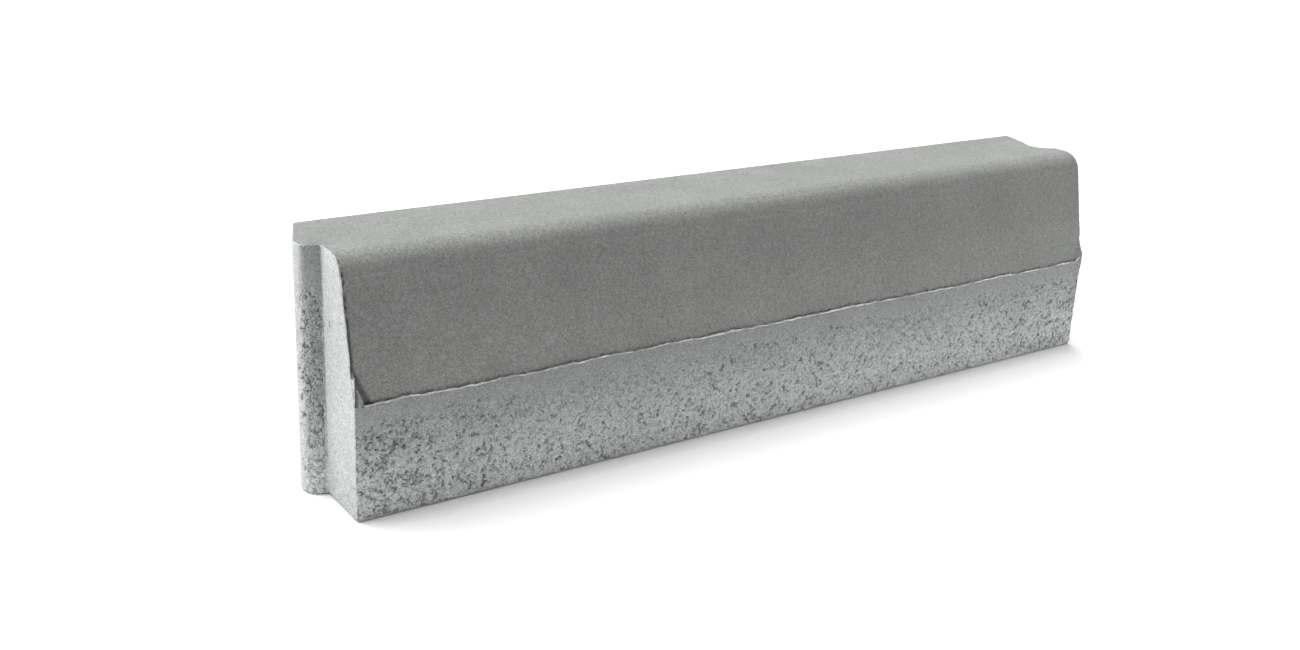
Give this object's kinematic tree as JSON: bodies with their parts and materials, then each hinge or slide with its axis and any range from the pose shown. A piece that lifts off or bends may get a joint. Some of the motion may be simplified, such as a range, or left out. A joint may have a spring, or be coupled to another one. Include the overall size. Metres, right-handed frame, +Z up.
{
  "type": "concrete kerb stone",
  "caption": "Precast concrete kerb stone with a wider foot, a battered face with a rounded top arris, a tongue at one end and a matching groove at the other.",
  "frame": {"origin": "centre of the bed: on the underside, half way along the butt-to-butt length and half way across the foot", "axes": "+X along the stone from the tongue end to the groove end, +Y from the kerb face to the back, +Z up"},
  "size_m": [1.0209, 0.15, 0.25],
  "materials": {
    "concrete": "matte, fine grained and slightly pitted"
  },
  "bodies": {
    "root": {"kerb_stone": "concrete"}
  },
  "joints": []
}
